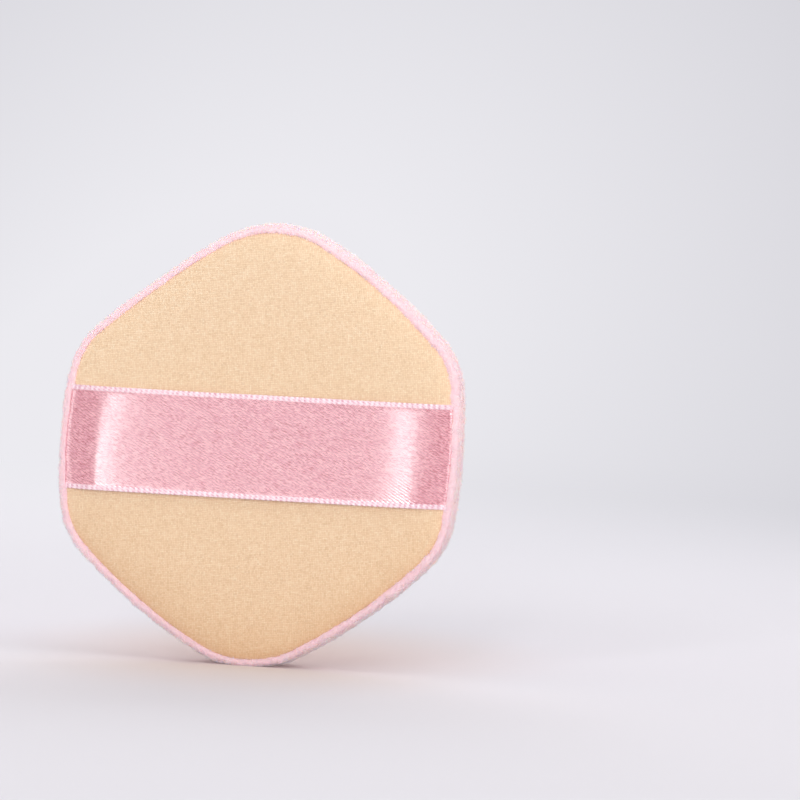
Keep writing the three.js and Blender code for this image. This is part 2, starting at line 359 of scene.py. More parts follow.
class Nodes:
    """A material's node tree, written as calls."""

    def __init__(self, name):
        self.material = bpy.data.materials.new(name)
        self.material.use_nodes = True
        self.tree = self.material.node_tree
        self.tree.nodes.clear()
        self.output = self.tree.nodes.new("ShaderNodeOutputMaterial")

    def add(self, kind, inputs=None, **settings):
        node = self.tree.nodes.new("ShaderNode" + kind)
        for name, value in settings.items():
            setattr(node, name, value)
        for name, value in (inputs or {}).items():
            self.feed(node.inputs[name], value)
        return node

    def feed(self, socket, value):
        """Links an output to an input, or sets the input to a plain value."""
        if isinstance(value, bpy.types.NodeSocket):
            self.tree.links.new(value, socket)
        else:
            socket.default_value = value

    def math(self, operation, *values):
        node = self.add("Math", operation=operation)
        for socket, value in zip(node.inputs, values):
            self.feed(socket, value)
        return node.outputs[0]

    def vector(self, operation, a, b):
        """b is a number for SCALE and a vector otherwise."""
        node = self.add("VectorMath", operation=operation)
        self.feed(node.inputs[0], a)
        self.feed(node.inputs["Scale" if operation == "SCALE" else 1], b)
        return node.outputs[0]

    def blend_values(self, factor, a, b):
        node = self.add("Mix", {"Factor": factor, "A": a, "B": b}, data_type="FLOAT")
        return node.outputs[0]

    def ramp(self, factor, *stops):
        node = self.add("ValToRGB", {"Fac": factor})
        while len(node.color_ramp.elements) < len(stops):
            node.color_ramp.elements.new(0.5)
        for element, (position, colour) in zip(node.color_ramp.elements, stops, strict=True):
            element.position = position
            element.color = colour
        return node.outputs["Color"]

    def mix(self, factor, a, b, blend="MIX"):
        node = self.add("Mix", data_type="RGBA", blend_type=blend)
        self.feed(node.inputs[0], factor)
        self.feed(node.inputs[6], a)
        self.feed(node.inputs[7], b)
        return node.outputs[2]

    def split(self, vector):
        return self.add("SeparateXYZ", {"Vector": vector}).outputs

    def length(self, vector):
        return self.add("VectorMath", {0: vector}, operation="LENGTH").outputs["Value"]

    def noise(self, vector, scale, detail, roughness=0.5):
        inputs = {"Vector": vector, "Scale": scale, "Detail": detail, "Roughness": roughness}
        return self.add("TexNoise", inputs).outputs["Fac"]

    def position(self):
        return self.add("TexCoord").outputs["Object"]

    def millimetres(self, stretch=(1, 1, 1)):
        """Object coordinates in millimetres, each divided by its stretch."""
        scale = tuple(1 / (MM * s) for s in stretch)
        return self.add("Mapping", {"Vector": self.position(), "Scale": scale}).outputs[0]

    def foot_shade_mask(self):
        """Mask for painted shade towards the foot: 0 at the top of the puff and 1 at its foot."""
        limits = {"Value": self.split(self.position())["Z"], "From Min": 2 * MIDDLE[2], "From Max": 0.0}
        return self.add("MapRange", limits).outputs[0]

    def rimness(self):
        """0 on the plush face and 1 on the rim, where the pile is coloured paler."""
        first, last = (float(MIDDLE[1]) + depth * MM for depth in RIM_FADE)
        limits = {"Value": self.split(self.position())["Y"], "From Min": first, "From Max": last}
        return self.add("MapRange", limits, interpolation_type="SMOOTHSTEP").outputs[0]

    def bump(self, height, distance):
        return self.add("Bump", {"Height": height, "Distance": distance * MM}).outputs[0]

    def cloth(self, colour, roughness, normal=None, **inputs):
        """Ends the material in one Principled shader. The names of other inputs have _ for a space."""
        shader = self.add("BsdfPrincipled", {"Base Color": colour, "Roughness": roughness})
        if normal is not None:
            self.feed(shader.inputs["Normal"], normal)
        for name, value in inputs.items():
            self.feed(shader.inputs[name.replace("_", " ")], value)
        self.tree.links.new(shader.outputs[0], self.output.inputs["Surface"])
        return self.material


def colour(code):
    """A linear colour from a hex code as seen on screen."""
    shown = [int(code[i : i + 2], 16) / 255 for i in (0, 2, 4)]
    return (*[c / 12.92 if c <= 0.04045 else ((c + 0.055) / 1.055) ** 2.4 for c in shown], 1.0)


def plush_ground():
    """The knitted ground between the fibres: pink in random clumps and patches, paler on the rim, with
    painted shade towards the foot.
    """
    nodes = Nodes("plush_ground")
    clumps = nodes.noise(nodes.millimetres(), 1.6, 4.0, 0.6)
    patches = nodes.noise(nodes.millimetres(), 0.09, 2.0)
    base = nodes.ramp(clumps, (0.3, colour("f1c9d1")), (0.7, colour("f9dde2")))
    patched = nodes.mix(nodes.math("MULTIPLY", patches, 0.25), base, colour("fbe0e5"))
    paler = nodes.mix(nodes.math("MULTIPLY", nodes.rimness(), 0.15), patched, colour("fbe9ec"))
    # Painted shade: the ground darker towards the foot.
    foot_shaded_ground = nodes.mix(nodes.foot_shade_mask(), paler, colour("efecee"), "MULTIPLY")
    normal = nodes.bump(nodes.noise(nodes.millimetres(), 3.5, 3.0), 0.15)
    return nodes.cloth(foot_shaded_ground, 0.95, normal, Sheen_Weight=0.5, Sheen_Roughness=0.4)


def plush_fibre():
    """Fibres: the map's U picks one of a range of pinks and its V runs from root to tip. Painted shade
    darkens the roots and the fibres towards the foot.
    """
    nodes = Nodes("plush_fibre")
    parts = nodes.split(nodes.add("UVMap", uv_map="OFBake").outputs[0])
    dyed = nodes.ramp(parts["X"], (0.0, colour("ecb2bc")), (0.5, colour("f6d3d9")), (1.0, colour("fcedef")))
    # Painted shade: each fibre darker towards its root.
    shade = nodes.ramp(parts["Y"], (0.0, colour("f3d6dc")), (0.5, colour("ffffff")))
    paler = nodes.mix(nodes.math("MULTIPLY", nodes.rimness(), 0.15), dyed, colour("fbebee"))
    mixed = nodes.mix(1.0, paler, shade, "MULTIPLY")
    # Painted shade: the fibres darker towards the foot.
    lower = nodes.mix(nodes.foot_shade_mask(), mixed, colour("efecee"), "MULTIPLY")
    glow = {"Subsurface_Weight": 0.5, "Subsurface_Scale": 0.6 * MM}
    return nodes.cloth(lower, 0.9, **glow, Sheen_Weight=0.4, Sheen_Roughness=0.35)


def woven(nodes, pitch):
    """A plain weave: the height of the thread on top and a random tone for each of its stitches."""
    coordinates = nodes.millimetres()
    wander = nodes.add("TexNoise", {"Vector": coordinates, "Scale": 0.8, "Detail": 2.0}).outputs["Color"]
    moved = nodes.vector("ADD", coordinates, nodes.vector("SCALE", wander, pitch * 0.9))
    parts = nodes.split(moved)
    cells, bows = [], []
    for axis in "XZ":
        threads = nodes.math("DIVIDE", parts[axis], pitch)
        cells.append(nodes.math("FLOOR", threads))
        bows.append(nodes.math("SINE", nodes.math("MULTIPLY", nodes.math("FRACT", threads), math.pi)))
    over = nodes.math("FLOORED_MODULO", nodes.math("ADD", *cells), 2.0)
    flats = [nodes.math("MULTIPLY_ADD", bow, 0.35, 0.65) for bow in bows]
    warp = nodes.math("MULTIPLY", bows[0], flats[1])
    weft = nodes.math("MULTIPLY", bows[1], flats[0])
    height = nodes.blend_values(over, warp, weft)
    cell = nodes.add("CombineXYZ", {"X": cells[0], "Y": cells[1]}).outputs[0]
    tone = nodes.add("TexWhiteNoise", {"Vector": cell}, noise_dimensions="3D").outputs["Value"]
    return height, tone


def cream_cotton():
    """Plain weave with slubs and dark pin-holes, with painted shade low down, where the panel turns down and
    in the hollows of the weave.
    """
    nodes = Nodes("cream_cotton")
    height, tone = woven(nodes, WEAVE_PITCH)
    across = nodes.noise(nodes.millimetres((2.6, 1, 0.5)), 1.9, 3.0, 0.65)
    along = nodes.noise(nodes.millimetres((0.5, 1, 2.6)), 1.9, 3.0, 0.65)
    slubs = nodes.math("MULTIPLY", nodes.math("ADD", across, along), 0.22)
    fine = nodes.noise(nodes.millimetres(), 5.5, 2.0, 0.8)
    mottle = nodes.math("MULTIPLY_ADD", tone, 0.16, nodes.math("MULTIPLY_ADD", fine, 0.4, slubs))
    yarn = nodes.ramp(mottle, (0.32, colour("e3c5a2")), (0.5, colour("f1d6b5")), (0.66, colour("f7e6cb")))
    # Painted shade: darker low on the puff and where the panel faces down.
    facing = nodes.split(nodes.add("NewGeometry").outputs["Normal"])["Z"]
    facing_down_shade = nodes.add("MapRange", {"Value": facing, "From Min": 0.05, "From Max": -0.4}).outputs[0]
    lower = nodes.math("MULTIPLY_ADD", nodes.foot_shade_mask(), 0.12, nodes.math("MULTIPLY", facing_down_shade, 0.5))
    shaded_yarn = nodes.mix(lower, yarn, colour("eed7bd"), "MULTIPLY")
    holes = nodes.math("GREATER_THAN", tone, 0.965)
    # Painted shade in the hollows between the threads, added to the random dark pin-holes.
    hollows = nodes.math("MULTIPLY", nodes.math("SUBTRACT", 1.0, height), 0.4)
    pinholes_and_hollow_shade = nodes.math("MULTIPLY_ADD", holes, 0.28, hollows)
    final = nodes.mix(pinholes_and_hollow_shade, shaded_yarn, colour("c9986a"))
    relief = nodes.math("ADD", height, nodes.math("MULTIPLY", slubs, 3.0))
    return nodes.cloth(final, 0.92, nodes.bump(relief, 0.045), Sheen_Weight=0.15, Sheen_Roughness=0.5)


def satin_floats(nodes, run):
    """Floats whose ends line up in slanted rows: height, how near the middle (0 to 1), and a tone."""
    parts = nodes.split(run)
    rows = nodes.math("DIVIDE", parts["Y"], SATIN_THREAD)
    slant = nodes.math("MULTIPLY", rows, SATIN_STEP / SATIN_FLOAT)
    steps = nodes.math("ADD", slant, nodes.math("DIVIDE", parts["X"], SATIN_FLOAT))
    steps = nodes.math("MULTIPLY_ADD", nodes.noise(run, 0.9, 3.0, 0.7), 0.8, steps)
    across = nodes.math("SINE", nodes.math("MULTIPLY", nodes.math("FRACT", rows), math.pi))
    along = nodes.math("SINE", nodes.math("MULTIPLY", nodes.math("FRACT", steps), math.pi))
    bow = nodes.math("POWER", along, 0.45)
    height = nodes.math("MULTIPLY_ADD", nodes.math("POWER", across, 0.5), 0.3, bow)
    thirds = nodes.math("FLOOR", nodes.math("MULTIPLY", steps, 3.0))
    cell = nodes.add("CombineXYZ", {"X": thirds, "Y": nodes.math("FLOOR", rows)}).outputs[0]
    tone = nodes.add("TexWhiteNoise", {"Vector": cell}, noise_dimensions="3D").outputs["Value"]
    return height, along, tone


def selvedge_bars(nodes, run):
    """Where the selvedges are, and the uneven pale bars in them."""
    parts = nodes.split(run)
    inner = BAND_WIDTH / 2 - SELVEDGE_WIDTH
    limits = {"Value": nodes.math("ABSOLUTE", parts["Y"]), "From Min": inner, "From Max": inner + 0.15}
    edge = nodes.add("MapRange", limits).outputs[0]
    even = nodes.math("MULTIPLY", parts["X"], 2 * math.pi / SELVEDGE_PITCH)
    turns = nodes.math("MULTIPLY_ADD", nodes.noise(run, 1.1, 3.0, 0.7), 5.0, even)
    bars = nodes.math("MULTIPLY_ADD", nodes.math("SINE", turns), 0.5, 0.5)
    worn = nodes.noise(run, 3.0, 3.0, 0.8)
    return edge, nodes.math("MULTIPLY_ADD", bars, 0.45, nodes.math("MULTIPLY_ADD", worn, 1.6, -0.5))


def pink_satin():
    """Satin with its floats in slanted rows, darkened by painted shade where they dip under, and a woven
    selvedge with pale bars on both edges.
    """
    nodes = Nodes("pink_satin")
    run = nodes.add("UVMap", uv_map="ribbon").outputs[0]
    height, along, tone = satin_floats(nodes, run)
    grain = nodes.noise(run, 6.5, 3.0, 0.8)
    mottle = nodes.math("MULTIPLY_ADD", tone, 0.6, nodes.math("MULTIPLY", grain, 0.5))
    dyed = nodes.ramp(mottle, (0.2, colour("b5495c")), (0.8, colour("f8b6bf")))
    broken = nodes.ramp(nodes.noise(run, 2.6, 2.0, 0.6), (0.35, (0.7, 0.7, 0.7, 1)), (0.6, (1, 1, 1, 1)))
    dips = nodes.math("MULTIPLY", nodes.math("SUBTRACT", 1.0, nodes.math("POWER", along, 0.45)), broken)
    # Painted shade: the float ends, where the floats dip under, are darkened.
    dip_shaded = nodes.mix(nodes.math("MULTIPLY", dips, 0.85), dyed, colour("9a445a"))
    edge, bars = selvedge_bars(nodes, run)
    barred = nodes.mix(edge, dip_shaded, nodes.ramp(bars, (0.15, colour("d392a6")), (0.75, colour("f8dde4"))))
    rough = nodes.math("MULTIPLY_ADD", edge, 0.25, nodes.math("MULTIPLY_ADD", dips, 1.0, 0.2))
    shine = {"Anisotropic": 0.97, "Anisotropic_Rotation": 0.25, "IOR": 1.9}
    shine["Tangent"] = nodes.add("Tangent", direction_type="UV_MAP", uv_map="ribbon").outputs[0]
    shine["Specular_IOR_Level"] = nodes.math("MULTIPLY", nodes.math("POWER", along, 1.5), 2.0)
    return nodes.cloth(barred, rough, nodes.bump(height, 0.01), **shine)


def open_cell_foam():
    nodes = Nodes("open_cell_foam")
    cells = nodes.add("TexVoronoi", {"Vector": nodes.millimetres(), "Scale": 1.6}).outputs["Distance"]
    tone = nodes.ramp(cells, (0.0, colour("d9cfbd")), (0.5, colour("f6f1e7")))
    return nodes.cloth(tone, 1.0, nodes.bump(cells, 0.3))


def twisted_thread():
    nodes = Nodes("twisted_thread")
    parts = nodes.split(nodes.add("UVMap", uv_map="twist").outputs[0])
    along = nodes.math("MULTIPLY", parts["X"], 14.0)
    plies = nodes.math("SINE", nodes.math("MULTIPLY_ADD", parts["Y"], 2 * math.pi, along))
    tone = nodes.ramp(plies, (0.0, colour("c96f88")), (0.6, colour("e994aa")))
    return nodes.cloth(tone, 0.55, nodes.bump(plies, 0.05), Sheen_Weight=0.2)


# Plush cover


def cover_section():
    """(inset, depth, share) of the cover's outside, from its middle to the seam, and of its lining."""
    room = PILE_ROOM
    face = [
        (room + FRONT_ROLL, WALL_FRONT + FRONT_ROLL - room + crown(s, FACE_CROWN), s)
        for s in np.linspace(POLE_SHARE, 1 - POLE_SHARE, FACE_RINGS)
    ]
    roll = section_arc(room + FRONT_ROLL, WALL_FRONT, FRONT_ROLL, FRONT_ROLL - room, 90, 0, ROLL_RINGS)
    rim_middle = -ALLOWANCE_DEPTH - RIM_HEIGHT / 2
    half = (WALL_FRONT - rim_middle) / 2
    wall_depths = np.linspace(WALL_FRONT, rim_middle, WALL_RINGS + 2)[1:-1]
    wall = [(room - WALL_BULGE * (1 - ((d - rim_middle) / half - 1) ** 2), d) for d in wall_depths]
    rim = section_arc(room + RIM_WIDTH / 2, rim_middle, RIM_WIDTH / 2, RIM_HEIGHT / 2, 0, -180, RIM_RINGS)
    seam = room + RIM_WIDTH
    under = [(seam, -ALLOWANCE_DEPTH), (seam + COVER_ALLOWANCE, -ALLOWANCE_DEPTH)]
    lining_depth = -ALLOWANCE_DEPTH + COVER_THICKNESS
    lining = [(seam + COVER_ALLOWANCE, lining_depth), (room + COVER_THICKNESS, lining_depth)]
    inner_roll = FRONT_ROLL - COVER_THICKNESS
    lining += section_arc(room + FRONT_ROLL, WALL_FRONT, inner_roll, inner_roll - room, 0, 90, 5)
    inside = [
        (room + FRONT_ROLL, WALL_FRONT + inner_roll - room + crown(s, FACE_CROWN), s)
        for s in np.linspace(0.95, 0.05, 8)
    ]
    visible = face + [(*corner, 1.0) for corner in roll + wall + rim]
    return visible, [(*corner, 1.0) for corner in under + lining] + inside


def plush_cover(material):
    """The cover without its pile, and how many of its rings show."""
    stations = outline(COVER_STATIONS)
    visible, hidden = cover_section()
    rings = [ring(stations, inset, depth, share) for inset, depth, share in visible + hidden]
    points, faces = loft(rings)
    piece = new_mesh("plush_body", points, faces, material)
    shown = np.arange(len(points)) < len(visible) * COVER_STATIONS
    places = np.array([v.co for v in piece.data.vertices]) / MM
    uneven = sum(height * lumps(places, size, seed) for height, size, seed in COVER_LUMPS)
    push(piece, np.where(shown, uneven, 0.0))
    return piece, len(visible)


def roots(piece, first_ring, last_ring, density, random):
    """Places and normals for fibres on the cover between two of its rings, evenly by area."""
    mesh = piece.data
    places = read(mesh.vertices, "co", 3)
    normals = read(mesh.vertices, "normal", 3)
    index = np.arange(first_ring * COVER_STATIONS, (last_ring - 1) * COVER_STATIONS)
    after = index - index % COVER_STATIONS + (index + 1) % COVER_STATIONS
    corners = np.stack([index, after, after + COVER_STATIONS, index + COVER_STATIONS], axis=1)
    a, b, c, d = (places[corners[:, i]] for i in range(4))
    halves = [np.linalg.norm(np.cross(start - a, end - a), axis=1) for start, end in ((b, c), (c, d))]
    wanted = (halves[0] + halves[1]) / 2 / MM**2 * density
    counts = np.floor(wanted + random.random(len(wanted))).astype(int)
    face = np.repeat(np.arange(len(counts)), counts)
    u, v = random.random((2, len(face), 1))
    weights = [(1 - u) * (1 - v), u * (1 - v), u * v, (1 - u) * v]
    root = sum(w * places[corners[face, i]] for i, w in enumerate(weights))
    normal = sum(w * normals[corners[face, i]] for i, w in enumerate(weights))
    return root, normal / np.linalg.norm(normal, axis=1)[:, None]


def clumps(places, broad, fine):
    """Unevenness that neighbouring fibres share: broad and fine clumps of these heights."""
    return broad * lumps(places / MM, *BROAD_CLUMPS) + fine * lumps(places / MM, *FINE_CLUMPS)


def fibres(name, places, normals, lengths, material, random):
    """One closed three-sided spike for each place, standing on the ground and leaning with the nap."""
    count = len(places)
    tufts = np.column_stack([lumps(places / MM, TUFT_SIZE, seed) for seed in TUFT_SEEDS])
    heading = normals + NAP + TUFT_LEAN * tufts + random.normal(scale=FIBRE_SCATTER, size=(count, 3))
    heading /= np.linalg.norm(heading, axis=1)[:, None]
    side = np.cross(heading, random.normal(size=(count, 3)))
    side /= np.linalg.norm(side, axis=1)[:, None]
    other = np.cross(heading, side)
    sunk = places - normals * FIBRE_SINK * MM
    spokes = [side * math.cos(turn) + other * math.sin(turn) for turn in np.radians([0, 120, 240])]
    feet = [sunk + spoke * FIBRE_RADIUS * MM for spoke in spokes]
    tips = places + heading * lengths[:, None] * MM
    points = np.stack([*feet, tips], axis=1)
    points[:, :, 2] = points[:, :, 2].clip(min=0)
    start = np.arange(count)[:, None, None] * 4
    mesh = bpy.data.meshes.new(name)
    mesh.from_pydata(points.reshape(-1, 3).tolist(), [], (start + FIBRE_FACES).reshape(-1, 3).tolist())
    mesh.shade_smooth()
    # Painted shade: the clumps that shorten fibres also deepen their pink, as shade in the pile's hollows;
    # the rest of the tone varies at random.
    tone = (0.5 + clumps(places, 0.16, 0.16) + random.normal(scale=0.12, size=count)).clip(0.02, 0.98)
    map_u = np.repeat(tone, FIBRE_FACES.size).reshape(count, *FIBRE_FACES.shape) + FIBRE_MAP_U
    map_v = np.broadcast_to(FIBRE_MAP_V, map_u.shape)
    layer = mesh.uv_layers.new(name="OFBake")
    layer.uv.foreach_set("vector", np.stack([map_u, map_v], axis=3).astype(np.float32).ravel())
    mesh.materials.append(material)
    piece = bpy.data.objects.new(name, mesh)
    piece.visible_shadow = False
    bpy.context.scene.collection.objects.link(piece)
    return piece


def pile(name, cover, first_ring, last_ring, material, density, length, seed):
    """The fibres that stand on the cover between two of its rings."""
    random = np.random.default_rng(seed)
    places, normals = roots(cover, first_ring, last_ring, density, random)
    uneven = 1 + clumps(places, 0.2, 0.25) + random.normal(scale=0.15, size=len(places))
    return fibres(name, places, normals, length * uneven.clip(0.4, 1.7), material, random)


# Backing panel


def pillow(share):
    """How far the back of the panel stands above its edge."""
    return PANEL_RISE * (1 - np.abs(share) ** PILLOW_POWER).clip(0) ** PILLOW_ROUNDING


def panel_face(lift, first, last, steps):
    """(inset, depth, share) of one face of the panel, closer together towards the edge."""
    shares = np.sin(np.linspace(math.asin(first), math.asin(last), steps))
    return [(PANEL_INSET, -(PANEL_EDGE_DEPTH + pillow(s) + lift), s) for s in shares]


def backing_panel(material):
    """The pillowed panel with its folded hem, puckered a little along its edge."""
    stations = outline(PANEL_STATIONS)
    hem_depth = -(PANEL_EDGE_DEPTH - FOLD_RADIUS)
    under = section_arc(PANEL_INSET + FOLD_RADIUS, -PANEL_EDGE_DEPTH, FOLD_RADIUS, FOLD_RADIUS, 0, 90, 5)[1:]
    hem = [(PANEL_INSET + HEM_ALLOWANCE, hem_depth - rise) for rise in (0.0, PANEL_THICKNESS / 2)]
    hidden = [(*corner, 1.0) for corner in under + hem]
    inside = panel_face(-PANEL_THICKNESS, POLE_SHARE, PANEL_LINING_SHARE, 30)[::-1]
    section = panel_face(0.0, POLE_SHARE, 1.0, 90) + hidden + inside
    rings = [ring(stations, inset, depth, share) for inset, depth, share in reversed(section)]
    points, faces = loft(rings)
    edge_share = np.hypot(points[:, 0] / (SIDE_REACH - PANEL_INSET), points[:, 2] / -FLOOR)
    seam_pull = PUCKER_DEPTH * ((edge_share - PUCKER_START) / PUCKER_FADE).clip(0, 1)
    puckers = lumps(points * (1, 0, 1), *PUCKER_LUMPS) * seam_pull
    points[:, 1] += np.where(edge_share < PUCKER_END, puckers, 0)
    return new_mesh("backing_panel", points, faces, material)


# Foam pad


def foam_pad(material):
    """A mushroom: a cap in the cover, a neck through its allowance and a back that fills the panel."""
    stations = outline(PANEL_STATIONS)
    roll = FRONT_ROLL - COVER_THICKNESS - FOAM_GAP
    front = WALL_FRONT + roll - PILE_ROOM
    shares = np.linspace(FOAM_POLE_SHARE, 1 - FOAM_POLE_SHARE, 20)
    face = [(PILE_ROOM + FRONT_ROLL, front + crown(s, FACE_CROWN), s) for s in shares]
    cap = section_arc(PILE_ROOM + FRONT_ROLL, WALL_FRONT, roll, roll - PILE_ROOM, 90, 0, 8)
    ledge = COVER_THICKNESS + FOAM_GAP - ALLOWANCE_DEPTH
    cap += section_arc(PILE_ROOM + FRONT_ROLL, ledge + FOAM_LEDGE_ROLL, roll, FOAM_LEDGE_ROLL, 0, -90, 6)
    back = panel_face(-PANEL_THICKNESS - FOAM_GAP, FOAM_POLE_SHARE, FOAM_NECK_SHARE, 30)[::-1]
    neck_depths = [(ledge - 0.1, 0.02), (back[0][1] + 0.5, 0.01)]
    neck = [(PANEL_INSET, depth, FOAM_NECK_SHARE + flare) for depth, flare in neck_depths]
    section = face + [(*corner, 1.0) for corner in cap] + neck + back
    rings = [ring(stations, inset, depth, share) for inset, depth, share in section]
    points, faces = loft(rings)
    piece = new_mesh("foam_pad", points, faces, material)
    height, size, seed = FOAM_LUMPS
    push(piece, height * lumps(points, size, seed) - height)
    return piece


# Seam thread


def seam_loop(material):
    """A closed tube that dips and rises with each stitch, mapped for its twist."""
    line = ring(outline(THREAD_POINTS), THREAD_INSET)
    steps = np.linalg.norm(np.roll(line, -1, axis=0) - line, axis=1)
    along = np.concatenate([[0], np.cumsum(steps)])
    stitches = round(along[-1] / STITCH_LENGTH)
    wave = np.cos(2 * math.pi * stitches * along[:-1] / along[-1])
    line[:, 1] = -THREAD_DEPTH + STITCH_RISE * wave
    ahead = np.roll(line, -1, axis=0) - np.roll(line, 1, axis=0)
    ahead /= np.linalg.norm(ahead, axis=1)[:, None]
    outwards = np.cross(ahead, [0, 1, 0])
    outwards /= np.linalg.norm(outwards, axis=1)[:, None]
    upright = np.cross(outwards, ahead)
    turns = np.arange(THREAD_SIDES) / THREAD_SIDES * 2 * math.pi
    spokes = outwards[:, None] * np.cos(turns)[:, None] + upright[:, None] * np.sin(turns)[:, None]
    points = (line[:, None] + spokes * THREAD_RADIUS).reshape(-1, 3)
    row, side = np.meshgrid(np.arange(THREAD_POINTS), np.arange(THREAD_SIDES), indexing="ij")
    after, beside = (row + 1) % THREAD_POINTS, (side + 1) % THREAD_SIDES
    corners = [(row, side), (after, side), (after, beside), (row, beside)]
    faces = np.stack([r * THREAD_SIDES + c for r, c in corners], axis=2).reshape(-1, 4)
    piece = new_mesh("seam_loop", points, faces.tolist(), material)
    along_map = np.stack([along[row + shift] for shift in (0, 1, 1, 0)], axis=2)
    round_map = np.stack([(side + shift) / THREAD_SIDES for shift in (0, 0, 1, 1)], axis=2)
    layer = piece.data.uv_layers.new(name="twist")
    layer.uv.foreach_set("vector", np.stack([along_map, round_map], axis=3).astype(np.float32).ravel())
    return piece


# Finger band


def band_half_line():
    """(x, depth) of the band's middle from its tail to the middle of the puff, evenly stepped."""
    edge = SIDE_REACH - PANEL_INSET
    reach = FOLD_RADIUS + BAND_LIFT
    turn = np.radians(np.linspace(90, 0, 12))
    fold_middle = (edge - FOLD_RADIUS, -PANEL_EDGE_DEPTH)
    wrap = reach * np.column_stack([np.cos(turn), np.sin(turn)]) + fold_middle
    tail = [(edge - BAND_TAIL, wrap[0, 1])]
    shares = np.sin(np.linspace(math.pi / 2, 0, 400))
    slack = crown(shares, BAND_SLACK)
    back = np.column_stack([shares * edge, -(PANEL_EDGE_DEPTH + pillow(shares) + slack)])
    slope = np.gradient(back, axis=0)
    away = np.column_stack([-slope[:, 1], slope[:, 0]])
    back += away / np.linalg.norm(away, axis=1)[:, None] * BAND_LIFT
    line = np.concatenate([tail, wrap, back[1:]])
    line[-1, 0] = 0
    along = np.concatenate([[0], np.cumsum(np.linalg.norm(np.diff(line, axis=0), axis=1))])
    steps = np.linspace(0, along[-1], round(along[-1] / BAND_STEP))
    return np.column_stack([np.interp(steps, along, line[:, i]) for i in range(2)])


def band_columns():
    """Places across the band, close together in its selvedges."""
    inner = BAND_WIDTH / 2 - SELVEDGE_WIDTH
    edge = np.linspace(inner, BAND_WIDTH / 2, 7)
    body = np.linspace(-inner, inner, 33)
    return np.concatenate([-edge[:0:-1], body, edge[1:]])


def band_stand_off(x, columns):
    """How far the ribbon's lower edge stands off the panel. At the left it also turns down later."""
    lower = 0.5 - columns / BAND_WIDTH
    edge = SIDE_REACH - PANEL_INSET
    reach = np.abs(x).clip(0, edge)
    fade = ((LAG_ENDS[1] - reach) / (LAG_ENDS[1] - LAG_ENDS[0])).clip(0, 1)
    fade = fade * fade * (3 - 2 * fade)
    lag = BAND_LAG * lower * np.where(x < 0, fade, 0)
    return pillow((reach - lag).clip(0) / edge) - pillow(reach / edge) + HEM_LIFT * lower**3 * fade


def finger_band(material):
    """The ribbon across the panel, and its length."""
    half = band_half_line()
    line = np.concatenate([half * (-1, 1), half[-2::-1]])
    columns = band_columns()
    widths = half_width_at(columns, PANEL_INSET) / half_width_at(0.0, PANEL_INSET)
    rows = len(line)
    x = line[:, :1] * widths
    depth = line[:, 1:] - band_stand_off(x, columns)
    points = np.stack([x, depth, np.broadcast_to(columns, x.shape)], axis=2)
    index = np.arange(rows * len(columns)).reshape(rows, -1)
    faces = np.stack([index[:-1, :-1], index[1:, :-1], index[1:, 1:], index[:-1, 1:]], axis=2).reshape(-1, 4)
    piece = new_mesh("satin_band", points.reshape(-1, 3), faces.tolist(), material)
    along = np.concatenate([[0], np.cumsum(np.linalg.norm(np.diff(line, axis=0), axis=1))])
    run = np.stack(np.meshgrid(along, columns, indexing="ij"), axis=2).reshape(-1, 2)
    layer = piece.data.uv_layers.new(name="ribbon")
    corner_vertices = np.empty(len(piece.data.loops), np.int32)
    piece.data.loops.foreach_get("vertex_index", corner_vertices)
    layer.uv.foreach_set("vector", run[corner_vertices].astype(np.float32).ravel())
    weave_selvedge(piece, run)
    return piece, along[-1]


def weave_selvedge(piece, run):
    """Thickness for the ribbon, and raised bars along both of its edges."""
    inner = BAND_WIDTH / 2 - SELVEDGE_WIDTH
    inside = ((np.abs(run[:, 1]) - inner) / 0.12).clip(0, 1)
    bars = (0.5 + 0.5 * np.cos(2 * math.pi * run[:, 0] / SELVEDGE_PITCH)) * inside
    group = piece.vertex_groups.new(name="selvedge")
    for index in np.flatnonzero(bars > 0.01).tolist():
        group.add([index], float(bars[index]), "REPLACE")
    thick = piece.modifiers.new("thickness", "SOLIDIFY")
    thick.thickness = BAND_THICKNESS * MM
    thick.offset = 0.0
    raised = piece.modifiers.new("selvedge", "DISPLACE")
    raised.vertex_group = "selvedge"
    raised.mid_level = 0.0
    raised.strength = SELVEDGE_HEIGHT * MM


# Camera, lights and stage


def towards(azimuth, elevation):
    """A direction from the puff: azimuth 0 is -Y and 90 degrees +X."""
    level = math.cos(elevation)
    return Vector((math.sin(azimuth) * level, -math.cos(azimuth) * level, math.sin(elevation)))


def looking(direction):
    """The turn that points a camera or a lamp that way."""
    return direction.to_track_quat("-Z", "Y")


def add_camera():
    """A camera that sees the puff leaning and off the middle, as it is framed in the picture."""
    data = bpy.data.cameras.new("camera")
    camera = bpy.data.objects.new("camera", data)
    bpy.context.scene.collection.objects.link(camera)
    puff = Vector(MIDDLE.tolist())
    back = towards(CAMERA_AZIMUTH, CAMERA_ELEVATION)
    turn = looking(-back) @ Matrix.Rotation(PUFF_LEAN, 3, "Z").to_quaternion()
    across, upwards = turn @ Vector((1, 0, 0)), turn @ Vector((0, 1, 0))
    right = (FRAME_PIXELS / 2 - PUFF_PIXEL[0]) / PIXELS_PER_MM * MM
    above = (PUFF_PIXEL[1] - FRAME_PIXELS / 2) / PIXELS_PER_MM * MM
    camera.location = puff + back * CAMERA_DISTANCE
    aim = puff + across * right + upwards * above
    rolled = looking(aim - camera.location)
    camera.rotation_mode = "QUATERNION"
    camera.rotation_quaternion = rolled @ Matrix.Rotation(PUFF_LEAN, 3, "Z").to_quaternion()
    view_width = FRAME_PIXELS / PIXELS_PER_MM * MM
    data.lens = data.sensor_width * (aim - camera.location).length / view_width
    bpy.context.scene.camera = camera


